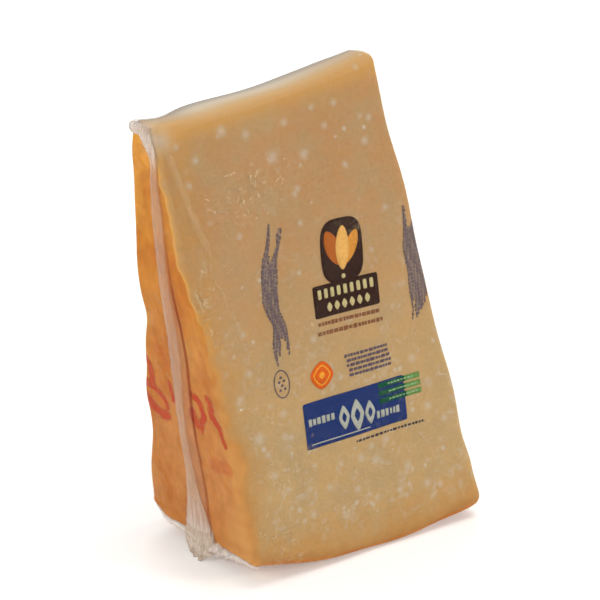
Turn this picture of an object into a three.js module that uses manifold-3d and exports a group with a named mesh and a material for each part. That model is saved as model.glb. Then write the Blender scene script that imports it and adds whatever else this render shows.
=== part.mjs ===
// A vacuum packed piece of hard grating cheese: a sector of half a wheel, stood on its
// rind heel with the blunt tip up. Millimetres, +Z up, origin under the middle of the box.
import * as THREE from 'three';
import { mergeVertices } from 'three/addons/utils/BufferGeometryUtils.js';
import Module from 'manifold-3d';

const wasm = await Module();
wasm.setup();

// The wedge's own frame: x runs along the wheel's axis from the flat rind face to the cut
// at half the wheel's height, y across the sector, z from the rim toward the wheel's centre.
const tipHeight = 169.4;
const heelWidth = 110.6;
const tipWidth = 99.5;
const heelDepth = 73.4;
const tipDepthAtRind = 19.4;
const tipDepthAtCut = 14;
const barrelRise = 19.9;       // the rim swells outward from the rind face ...
const barrelCrest = 87.5;      // ... to its widest line
const wheelRadius = 225;
const tipSag = 1.6;
const edgeRadius = 3.4;
const leanDegrees = -7.5;
const footDepth = 1.9;         // the heel presses flat where it stands

// Grid of the wedge: lines along each side, the last few turning round the edges.
const edgeTurns = 3;
const linesAcrossWidth = 24;
const linesAcrossDepth = 16;
const linesUpHeight = 38;

// Film: the flat seal down the rind face, and the gathered end under its rim.
const seamTop = 162;
const seamBottom = -3;
const ridgeHeight = 1.5;
const flapHeight = 0.9;
const skinOverlap = 2;
const tailWidth = 17;
const tailDrop = 10.2;
const tailThickness = 5.5;
const rollReach = 35;
const rollRadius = 2.1;
const earRadius = 3.2;

// Hollows and swellings of the edges: where, how far they reach and how deep they press.
const dents = [
  { at: [0, 22, 82], reach: 12, depth: 1.5 },
  { at: [0, 32, 33], reach: 9, depth: 2.2 },
  { at: [0, 28, 53], reach: 10, depth: -1.4 },
  { at: [0, 36, 14], reach: 10, depth: -0.5 },
  { at: [2, 24, -2], reach: 7, depth: -1.6 },
  { at: [11, 9, 168], reach: 7, depth: 1.3 },
  { at: [109, -33, 1], reach: 8, depth: -1.0 },
];

const { lerp, clamp, smoothstep } = THREE.MathUtils;

function barrel(x) {
  return barrelRise * (1 - (1 - x / barrelCrest) ** 2);
}

// Half the sector's depth on the straight line from the heel's corner to the tip's.
function halfDepth(x, z) {
  const t = clamp(x / heelWidth, 0, 1);
  const tip = lerp(tipDepthAtRind, tipDepthAtCut, t) / 2;
  const fall = tipHeight + barrel(x);
  return tip + (heelDepth / 2 - tip) * (tipHeight - z) / fall;
}

// The sharp wedge: u, v, w run from -1 to 1 along x, y and z.
function sharpPoint(u, v, w) {
  const h = (w + 1) / 2;
  const x = (u + 1) / 2 * lerp(heelWidth, tipWidth, h);
  const tipZ = tipHeight - tipSag * Math.sin(Math.PI * clamp(x / tipWidth, 0, 1));
  const edgeZ = lerp(-barrel(x), tipZ, h);
  const half = halfDepth(x, edgeZ);
  const y = v * half;
  const bow = (1 - h) * (half * half - y * y) / (2 * wheelRadius);
  return new THREE.Vector3(x, y, edgeZ - bow);
}

// Slow waves over every face, as a knife and a squeezing film leave them.
function wave(p) {
  return 0.45 * Math.sin(p.x / 13 + 0.6) * Math.sin(p.z / 19 + 1.1)
    + 0.30 * Math.sin(p.x / 7.5 - p.z / 11 + p.y / 9)
    + 0.25 * Math.sin(p.z / 8.2 + p.y / 6.5 + 2.0);
}

function dentDepth(p) {
  let depth = 0;
  for (const dent of dents) {
    const away = p.distanceTo(new THREE.Vector3(...dent.at)) / dent.reach;
    depth += dent.depth * Math.exp(-away * away);
  }
  return depth;
}

// A point of the rounded, waved skin. The rounding goes from the wedge shrunk by the edge
// radius out along the line to the sharp wedge.
function skinPoint(u, v, w) {
  const insetU = 2 * edgeRadius / heelWidth;
  const insetW = 2 * edgeRadius / (tipHeight + barrelRise);
  const sharp = sharpPoint(u, v, w);
  const insetV = edgeRadius / halfDepth(sharp.x, sharp.z);
  const core = sharpPoint(
    clamp(u, insetU - 1, 1 - insetU), clamp(v, insetV - 1, 1 - insetV), clamp(w, insetW - 1, 1 - insetW));
  const outward = sharp.clone().sub(core).normalize();
  const point = core.addScaledVector(outward, edgeRadius);
  return point.addScaledVector(outward, wave(point) - dentDepth(point));
}

// Where an evenly numbered grid line goes: near the ends in equal angles round the edge.
function gridLine(c, lines, inset) {
  const number = Math.round((c + 1) / 2 * lines);
  const fromEnd = Math.min(number, lines - number);
  const side = number < lines / 2 ? -1 : 1;
  if (fromEnd <= edgeTurns) {
    const turn = Math.tan(Math.PI / 4 * (edgeTurns - fromEnd) / edgeTurns);
    return side * (1 - inset + inset * turn);
  }
  return side * (1 - inset) * (1 - (fromEnd - edgeTurns) / (lines / 2 - edgeTurns));
}

// A closed solid from a three.js geometry whose points are moved by a function.
function shapedSolid(geometry, move) {
  geometry.deleteAttribute('normal');
  geometry.deleteAttribute('uv');
  const merged = mergeVertices(geometry, 1e-5);
  const positions = merged.attributes.position;
  const point = new THREE.Vector3();
  for (let i = 0; i < positions.count; i += 1) {
    point.fromBufferAttribute(positions, i);
    positions.setXYZ(i, ...move(point).toArray());
  }
  return new wasm.Manifold(new wasm.Mesh({
    numProp: 3,
    vertProperties: new Float32Array(positions.array),
    triVerts: new Uint32Array(merged.index.array),
  }));
}

function wedgeBody() {
  const grid = new THREE.BoxGeometry(2, 2, 2, linesAcrossWidth, linesAcrossDepth, linesUpHeight);
  const insetU = 2 * edgeRadius / heelWidth;
  const insetW = 2 * edgeRadius / (tipHeight + barrelRise);
  return shapedSolid(grid, (p) => {
    const u = gridLine(p.x, linesAcrossWidth, insetU);
    const w = gridLine(p.z, linesUpHeight, insetW);
    const sharp = sharpPoint(u, 0, w);
    const v = gridLine(p.y, linesAcrossDepth, edgeRadius / halfDepth(sharp.x, sharp.z));
    return skinPoint(u, v, w);
  });
}

// The rind face's skin at a given y and z.
function rindPoint(y, z) {
  const w = clamp(2 * z / tipHeight - 1, -1, 1);
  const v = clamp(y / halfDepth(0, z), -1, 1);
  return skinPoint(-1, v, w);
}

// The two long edges of the seal, which widens downward and turns to the corner at its top.
function seamEdges(z) {
  const down = 1 - z / seamTop;
  const corner = 7 * smoothstep(z, 149, seamTop) ** 2;
  const splay = 6.5 * Math.exp(-(z - seamBottom) / 7);
  return [-2.4 - 3.6 * down + corner, 1.2 + 4.8 * down + splay + corner];
}

// The seal: a round ridge along one edge and a flat flap to the other.
function filmSeam() {
  const strip = new THREE.BoxGeometry(1, 1, 1, 1, 8, 34);
  return shapedSolid(strip, (p) => {
    const z = lerp(seamBottom, seamTop, p.z + 0.5);
    const [flapY, ridgeY] = seamEdges(z);
    const across = p.y + 0.5;
    const point = rindPoint(lerp(flapY, ridgeY, across), z);
    const ridge = Math.sin(Math.PI * clamp((across - 0.45) / 0.55, 0, 1)) ** 0.7;
    const flap = across > 0.97 ? 0.2 : flapHeight;
    point.z = z;
    point.x += p.x < 0 ? -Math.max(flap, ridgeHeight * ridge) : skinOverlap;
    return point;
  });
}

// The gathered end of the film: a pleated fan that hangs from the seal under the rim.
function filmTail() {
  const fan = new THREE.BoxGeometry(1, 1, 1, 2, 18, 8);
  return shapedSolid(fan, (p) => {
    const down = 0.5 - p.z;
    const width = tailWidth * (0.72 + 0.4 * down - 0.5 * down ** 3);
    const pleat = 0.7 * Math.sin(p.y * 24 + 2 * down);
    const thickness = tailThickness * (1 - 0.35 * down) * Math.sqrt(Math.max(1 - 3.2 * p.y * p.y, 0.12));
    const hem = 1.3 * Math.cos(p.y * 7) * down;
    return new THREE.Vector3(
      0.5 - 2.6 * down + p.x * thickness + pleat,
      -1 + p.y * width,
      4 - (4 + tailDrop) * down - hem);
  });
}

// Film bunched along the rim, thickest at the tail and thin at both ends.
function filmRoll() {
  const bar = new THREE.CylinderGeometry(1, 1, 2, 9, 30);
  return shapedSolid(bar, (p) => {
    const y = -p.y * rollReach;
    const taper = 0.7 + (rollRadius - 0.7) * (1 - Math.abs(p.y) ** 2.5);
    const lump = 1 + 0.22 * Math.sin(y * 1.1 + 3 * Math.atan2(p.z, p.x));
    const rim = rindPoint(y, -2.2);
    return new THREE.Vector3(
      rim.x + 1.4 + p.x * taper * lump,
      y,
      rim.z - 1.2 - p.z * taper * lump);
  });
}

// Film pinched up at the corner where the seal ends.
function filmEar() {
  const knob = new THREE.SphereGeometry(earRadius, 14, 9);
  return shapedSolid(knob, (p) => {
    const pull = smoothstep(p.y, 0, earRadius);
    return new THREE.Vector3(
      1.7 + 0.75 * p.x - 0.8 * pull,
      6.6 + p.y * 1.05,
      tipHeight - 4 + 0.9 * p.z + 1.2 * pull);
  });
}

// The solid leant as it stands, with the foot cut flat and the origin put under its box.
function stood(solid) {
  const leant = solid.translate([-heelWidth / 2, 0, 0]).rotate([0, leanDegrees, 0]);
  const box = leant.boundingBox();
  const floor = box.min[2] + footDepth;
  const size = 2 * (tipHeight + heelWidth);
  const above = new THREE.BoxGeometry(size, size, size);
  const room = shapedSolid(above, (p) => p.add(new THREE.Vector3(0, 0, floor + size / 2)));
  const cut = leant.intersect(room);
  const low = cut.boundingBox().min;
  const high = cut.boundingBox().max;
  return cut.translate([-(low[0] + high[0]) / 2, -(low[1] + high[1]) / 2, -floor]);
}

function toGeometry(solid) {
  const mesh = solid.getMesh();
  const geometry = new THREE.BufferGeometry();
  geometry.setAttribute('position', new THREE.BufferAttribute(mesh.vertProperties, 3));
  geometry.setIndex(new THREE.BufferAttribute(mesh.triVerts, 1));
  geometry.computeVertexNormals();
  return geometry;
}

// The fused solid's outer skin alone: pockets closed in between film and cheese are filled.
function filled(solid) {
  return solid.decompose().reduce((most, part) => (part.volume() > most.volume() ? part : most));
}

const packedCheese = filled(stood(
  wedgeBody().add(filmSeam()).add(filmTail()).add(filmRoll()).add(filmEar())));

const filmOverCheese = new THREE.MeshStandardMaterial({ color: '#c39a62', roughness: 0.32, metalness: 0 });

const chunk = new THREE.Mesh(toGeometry(packedCheese), filmOverCheese);
chunk.name = 'packed_chunk';

const group = new THREE.Group();
group.add(chunk);

export default group;
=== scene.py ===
import math
import random
import bmesh
import bpy
from mathutils import Matrix, Vector, noise


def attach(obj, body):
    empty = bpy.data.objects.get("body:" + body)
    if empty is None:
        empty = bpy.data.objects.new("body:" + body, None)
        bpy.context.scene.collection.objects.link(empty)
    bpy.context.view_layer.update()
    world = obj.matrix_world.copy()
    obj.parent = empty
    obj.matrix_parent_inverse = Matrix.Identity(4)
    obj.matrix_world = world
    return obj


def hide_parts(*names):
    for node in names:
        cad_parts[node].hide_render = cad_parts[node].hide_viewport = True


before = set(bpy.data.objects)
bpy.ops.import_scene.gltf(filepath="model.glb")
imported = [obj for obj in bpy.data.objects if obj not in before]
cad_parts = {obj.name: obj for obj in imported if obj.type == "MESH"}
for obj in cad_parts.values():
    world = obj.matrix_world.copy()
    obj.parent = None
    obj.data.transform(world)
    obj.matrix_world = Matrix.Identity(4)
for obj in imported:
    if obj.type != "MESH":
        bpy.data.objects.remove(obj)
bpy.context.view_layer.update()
noise.seed_set(11)     # noise_vector takes its offsets from this seed, so every run is the same
print("frame loaded:", sorted(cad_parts))

# small helpers


def fromHex(code):
    # sRGB hex to the linear values that the shaders want
    channels = [int(code[i:i + 2], 16) / 255 for i in (1, 3, 5)]
    linear = [c / 12.92 if c <= 0.04045 else ((c + 0.055) / 1.055) ** 2.4 for c in channels]
    return (*linear, 1.0)


def clamp(value, low=0.0, high=1.0):
    return max(low, min(high, value))


def lerp(a, b, t):
    return a + (b - a) * t


def smooth(value, low, high):
    t = clamp((value - low) / (high - low))
    return t * t * (3 - 2 * t)


def lineAt(points, t):
    # a smooth line through all its points
    s = clamp(t) * (len(points) - 1)
    i = min(int(s), len(points) - 2)
    f = s - i
    p0, p1, p2, p3 = (Vector(points[clamp(i + k, 0, len(points) - 1)]) for k in (-1, 0, 1, 2))
    square, cube = 2 * p0 - 5 * p1 + 4 * p2 - p3, 3 * p1 - p0 - 3 * p2 + p3
    return 0.5 * (2 * p1 + (p2 - p0) * f + square * f * f + cube * f ** 3)


def addNode(tree, kind, inputs=(), **settings):
    # one shader node with its settings. Inputs go by name or number, or as a list in the sockets'
    # order, which for MapRange is the value, from low to high, to low to high. A colour Mix has its
    # factor at 0 and its colours at 6 and 7. Each input is a value, a hex colour, a socket, or a node
    # whose result feeds it.
    node = tree.nodes.new("ShaderNode" + kind)
    for name, value in settings.items():
        setattr(node, name, value)
    for name, value in inputs.items() if isinstance(inputs, dict) else enumerate(inputs):
        if isinstance(value, bpy.types.Node):
            value = next(socket for socket in value.outputs if socket.enabled)
        elif isinstance(value, str):
            value = fromHex(value)
        if isinstance(value, bpy.types.NodeSocket):
            tree.links.new(value, node.inputs[name])
        else:
            node.inputs[name].default_value = value
    return node


softly = {"interpolation_type": "SMOOTHSTEP"}     # for a MapRange that eases in and out


def newMaterial(name):
    material = bpy.data.materials.new(name)
    material.use_nodes = True
    material.node_tree.nodes.clear()
    return material, material.node_tree


def millimetres(tree):
    # object coordinates in millimetres, so that a texture scale is 1 / its real size
    place = addNode(tree, "TexCoord")
    return addNode(tree, "VectorMath", [place.outputs["Object"], (1000, 1000, 1000)], operation="MULTIPLY")


# the wedge's shape, in millimetres: x along the wheel's axis from the flat rind face,
# y across the sector, z from the rim to the wheel's centre

wedge = {
    "tipHeight": 169.4,
    "heelWidth": 110.6,
    "tipWidth": 99.5,
    "heelDepth": 73.4,
    "tipDepthAtRind": 19.4,
    "tipDepthAtCut": 14.0,
    "barrelRise": 19.9,      # the rim's swell
    "barrelCrest": 87.5,
    "wheelRadius": 225.0,
    "tipSag": 1.6,
    "edgeRadius": 3.4,
    "lean": -7.5,            # degrees
    "moved": (9.9705, -0.0528, 17.9902),
}

dents = [
    {"at": (0, 20, 86), "reach": 8, "depth": 1.3},
    {"at": (0, 32, 33), "reach": 9, "depth": 0.5},
    {"at": (0, 28, 53), "reach": 10, "depth": -1.4},
    {"at": (0, 36, 14), "reach": 10, "depth": -0.5},
    {"at": (2, 24, -2), "reach": 7, "depth": -1.6},
    {"at": (11, 9, 168), "reach": 7, "depth": 1.3},
    {"at": (109, -33, 1), "reach": 8, "depth": -1.0},
    {"at": (98, -1.2, 169.5), "reach": 8, "depth": -1.3},
    {"at": (86, 7, 169), "reach": 9, "depth": -0.5},
    {"at": (0, 20, 108), "reach": 16, "depth": -1.8},
    {"at": (0, 11, 158), "reach": 9, "depth": -1.0},
    {"at": (56, 0, 169), "reach": 26, "depth": 0.5},
    {"at": (108, -28, 40), "reach": 36, "depth": -0.8},
    {"at": (106, -18, 98), "reach": 30, "depth": -0.8},
    {"at": (105, -35, -18), "reach": 13, "depth": -1.6},
    {"at": (100, -7, 158), "reach": 12, "depth": -0.5},
]

insetU = 2 * wedge["edgeRadius"] / wedge["heelWidth"]
insetW = 2 * wedge["edgeRadius"] / (wedge["tipHeight"] + wedge["barrelRise"])


def barrel(x):
    return wedge["barrelRise"] * (1 - (1 - x / wedge["barrelCrest"]) ** 2)


def tipLine(x):
    return wedge["tipHeight"] - wedge["tipSag"] * math.sin(math.pi * clamp(x / wedge["tipWidth"]))


def halfDepth(x, z):
    tip = lerp(wedge["tipDepthAtRind"], wedge["tipDepthAtCut"], clamp(x / wedge["heelWidth"])) / 2
    fall = wedge["tipHeight"] + barrel(x)
    return tip + (wedge["heelDepth"] / 2 - tip) * (wedge["tipHeight"] - z) / fall


def sharpPoint(u, v, w):
    h = (w + 1) / 2
    x = (u + 1) / 2 * lerp(wedge["heelWidth"], wedge["tipWidth"], h)
    edgeZ = lerp(-barrel(x), tipLine(x), h)
    half = halfDepth(x, edgeZ)
    y = v * half
    bow = (1 - h) * (half * half - y * y) / (2 * wedge["wheelRadius"])
    return Vector((x, y, edgeZ - bow))


def wave(p):
    return (0.45 * math.sin(p.x / 13 + 0.6) * math.sin(p.z / 19 + 1.1)
            + 0.30 * math.sin(p.x / 7.5 - p.z / 11 + p.y / 9)
            + 0.25 * math.sin(p.z / 8.2 + p.y / 6.5 + 2.0))


def dentDepth(p):
    total = 0.0
    for dent in dents:
        away = (p - Vector(dent["at"])).length / dent["reach"]
        if away < 3:
            total += dent["depth"] * math.exp(-away * away)
    return total


def skinPoint(u, v, w, lift=0.0):
    sharp = sharpPoint(u, v, w)
    insets = (insetU, wedge["edgeRadius"] / halfDepth(sharp.x, sharp.z), insetW)
    core = sharpPoint(*(clamp(c, inset - 1, 1 - inset) for c, inset in zip((u, v, w), insets)))
    outward = (sharp - core).normalized()
    point = core + outward * wedge["edgeRadius"]
    return point + outward * (wave(point) - dentDepth(point) + lift)


def frontPoint(x, z, lift=0.0):
    # the printed cut face
    h = (z + barrel(x)) / (tipLine(x) + barrel(x))
    return skinPoint(2 * x / lerp(wedge["heelWidth"], wedge["tipWidth"], h) - 1, -1, 2 * h - 1, lift)


def rindPoint(y, z, lift=0.0):
    # the flat rind face
    w = clamp(2 * z / wedge["tipHeight"] - 1, -1, 1)
    return skinPoint(-1, clamp(y / halfDepth(0, z), -1, 1), w, lift)


leanTurn = Matrix.Rotation(math.radians(wedge["lean"]), 3, "Y")


def stand(p):
    # from the wedge's own millimetres to where it stands, in metres
    placed = leanTurn @ (p - Vector((wedge["heelWidth"] / 2, 0, 0))) + Vector(wedge["moved"])
    placed.z = max(placed.z, 0.02)     # pressed flat, a hair above the floor
    return placed / 1000


def gridLine(c, lines, inset, turns):
    # grid lines stand evenly, apart from the last few, which go round the edge in equal angles
    number = round((c + 1) / 2 * lines)
    fromEnd = min(number, lines - number)
    side = -1 if number < lines / 2 else 1
    if fromEnd <= turns:
        return side * (1 - inset + inset * math.tan(math.pi / 4 * (turns - fromEnd) / turns))
    return side * (1 - inset) * (1 - (fromEnd - turns) / (lines / 2 - turns))


def boxLattice(lines):
    # a cube from -1 to 1, cut into that many strips along x, y and z
    bm = bmesh.new()
    bmesh.ops.create_cube(bm, size=2.0)
    for axis, number in enumerate(lines):
        along = [edge for edge in bm.edges if abs(edge.verts[0].co[axis] - edge.verts[1].co[axis]) > 1.5]
        if number > 1:
            bmesh.ops.subdivide_edges(bm, edges=along, cuts=number - 1, use_grid_fill=True)
    return bm


def finishPiece(name, bm, materials, outward=None):
    # the bmesh as an object on the body; open sheets say which way is outward
    if outward:
        bm.normal_update()
        bmesh.ops.reverse_faces(bm, faces=[face for face in bm.faces if face.normal.dot(outward) < 0])
    else:
        bmesh.ops.recalc_face_normals(bm, faces=bm.faces)
    mesh = bpy.data.meshes.new(name)
    bm.to_mesh(mesh)
    bm.free()
    for material in materials:
        mesh.materials.append(material)
    mesh.shade_smooth()
    piece = bpy.data.objects.new(name, mesh)
    bpy.context.scene.collection.objects.link(piece)
    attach(piece, "root")
    print(name, len(mesh.polygons), "faces")
    return piece


# camera, light and floor

view = {
    "target": (0.00412, 0.00192, 0.09587),
    "distance": 0.818592,
    "azimuth": -36.29,
    "elevation": 20.05,
    "lens": 126.0,
}

around, up = math.radians(view["azimuth"]), math.radians(view["elevation"])
backward = Vector((math.sin(around) * math.cos(up), -math.cos(around) * math.cos(up), math.sin(up)))
camera = bpy.data.objects.new("camera", bpy.data.cameras.new("camera"))
camera.data.lens = view["lens"]
camera.data.sensor_width = 36.0
camera.data.clip_start = 0.05
camera.location = Vector(view["target"]) + backward * view["distance"]
camera.rotation_euler = backward.to_track_quat("Z", "Y").to_euler()
bpy.context.scene.collection.objects.link(camera)
bpy.context.scene.camera = camera

studio = {
    "world": 0.62,
    "lampsAim": (0, 0, 0.08),
    "floorWhite": "#E6E6E4",
    "floorGlow": 0.24,
    "lamps": [
        {"name": "keyLamp", "at": (0.85, -1.25, 0.62), "size": 0.40, "watts": 9.0, "colour": "#FFF9F0"},
        {"name": "leftLamp", "at": (-1.25, -0.15, 0.75), "size": 0.45, "watts": 7.0, "colour": "#FFFAF2"},
        {"name": "topLamp", "at": (0.15, -0.35, 1.45), "size": 0.60, "watts": 5.0, "colour": "#FFFFFF"},
        {"name": "backLamp", "at": (0.5, 1.1, 1.2), "size": 0.80, "watts": 9.0, "colour": "#FFFFFF"},
    ],
}

world = bpy.data.worlds.new("studio")
world.use_nodes = True
background = world.node_tree.nodes["Background"]
background.inputs["Color"].default_value = (1, 1, 1, 1)
background.inputs["Strength"].default_value = studio["world"]
bpy.context.scene.world = world

for lamp in studio["lamps"]:
    light = bpy.data.lights.new(lamp["name"], "AREA")
    light.shape = "SQUARE"
    light.size = lamp["size"]
    light.energy = lamp["watts"]
    light.color = fromHex(lamp["colour"])[:3]
    holder = bpy.data.objects.new(lamp["name"], light)
    holder.location = lamp["at"]
    away = Vector(lamp["at"]) - Vector(studio["lampsAim"])
    holder.rotation_euler = away.to_track_quat("Z", "Y").to_euler()
    bpy.context.scene.collection.objects.link(holder)

floorBm = bmesh.new()
bmesh.ops.create_grid(floorBm, x_segments=8, y_segments=8, size=4.0)
floorMesh = bpy.data.meshes.new("floor")
floorBm.to_mesh(floorMesh)
floorBm.free()
floor = bpy.data.objects.new("floor", floorMesh)
bpy.context.scene.collection.objects.link(floor)
material, tree = newMaterial("paperWhiteFloor")
paper = addNode(tree, "BsdfDiffuse", {"Color": studio["floorWhite"]})
glow = addNode(tree, "Emission", {"Color": (1, 1, 1, 1), "Strength": studio["floorGlow"]})
both = addNode(tree, "AddShader", [paper, glow])
addNode(tree, "OutputMaterial", {"Surface": both})
floorMesh.materials.append(material)
bpy.context.scene.view_settings.view_transform = "Standard"
bpy.context.scene.view_settings.look = "None"
print("camera, lights and floor set")

# the cheese

cheeseLook = {
    "layers": ("rindDepth", "heightUp", "tipEdge", "wornEdge", "bigCrystal"),
    "lines": (110, 64, 190),       # about 1 mm apart
    "edgeTurns": 5,
    "under": -0.35,                # below the film
    "grainDepth": 0.05,
    "pasteHigh": "#AE865C",        # near the wheel's centre
    "pasteLow": "#B69769",         # toward the rim, paler and greyer
    "pasteMottle": "#A48F6B",
    "pasteWarm": "#B4884F",        # the last centimetre before the rind
    "goldenEdge": "#B98D51",
    "rind": "#BE7A26",
    # painted light: the rind made brighter toward the top
    "rindLitTop": "#CC8E3A",
    "rindLow": "#B87B41",
    "rindMottle": "#AC6120",
    "underRind": "#CE9B4E",        # the waxy band just inside the rind
    "underRindLow": "#A97B47",
    "tanAndHighlightRind": "#C69051",         # lighter tan along the lower cut edge: partly the rind's own tan, partly a painted highlight on the rounded edge
    "crystal": "#B9AD9D",
    "skinFades": (1.8, 4.2),       # mm inward: where the dark skin turns into the waxy band
    "bandFades": (3.1, 6.3),       # and where the band turns into paste
    "bigCrystalCell": 8.0,         # mm between the large soft crystals
    "smallCrystalCell": 3.6,
    "bendSize": 2.4,               # mm across the bends that make the crystals irregular, and how far
    "bend": 0.9,
    "cloudSize": 15.0,             # mm across, as are the next ones: the paste's clouds and patches,
    "patchSize": 9.0,
    "grainSize": 1.1,              # its grain, coarse enough to show, and the flecks where it broke,
    "crumbSize": 4.5,
    "mottleSize": 18.0,            # and the rind's blotches, scuffs and torn inner line
    "scuffSize": 4.0,
    "tearSize": 6.0,
    "trimLeast": 0.8,              # mm of bare paste along the rind face's edges, low down and high up
    "trimMost": 8.2,
    "trimHeights": (78, 125),
    "breakAt": 41,                 # where the rind broke away onto the printed face, and how far
    "breakReach": 3.0,
    "edgeBandWidth": 6.5,              # mm of that lighter band along the printed face, and at the lowest corner
    "edgeBandCorner": 30.5,
    "edgeBandHeights": (100, 76),
}

# the largest crystals on the printed face: x, z and radius
bigCrystals = [
    (26, 161, 1.9), (36, 157, 1.6), (54, 156, 1.4), (46, 145, 2.2), (60, 142, 1.9), (6, 161, 1.2),
    (13, 154, 1.4), (8, 146, 1.4), (77, 157, 1.2), (92, 147, 1.3), (88, 139, 1.5), (67, 158, 1.1),
    (77, 133, 1.3), (71, 150, 1.2), (52, 129, 1.2), (24, 122, 1.2), (91, 112, 1.3), (52, 118, 1.2),
    (47, 74, 1.4), (17, 86, 1.2), (16, 71, 1.4), (10, 63, 1.3), (27, 51, 1.4), (14, 46, 2.2), (28, 41, 1.3),
    (16, 39, 1.3), (17, 30, 1.4), (41, 15, 1.4), (54, 9, 1.4), (71, 23.5, 1.6), (79, 9, 1.8),
    (93, 29.5, 1.8), (100, 22, 1.4), (32, 18, 1.2), (65, 17, 2.0), (31, 8, 1.5), (58, 20.5, 1.7),
    (90.5, 50, 1.6), (92, -3.5, 1.4), (86, -1, 1.6), (37.5, 33, 1.3), (25.5, 42.5, 1.4), (9.5, 62, 1.4),
    (46, 1, 1.4), (22, 22, 1.3), (36, 26, 1.2), (48, 22, 1.3), (62, 2, 1.3),
]


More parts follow.
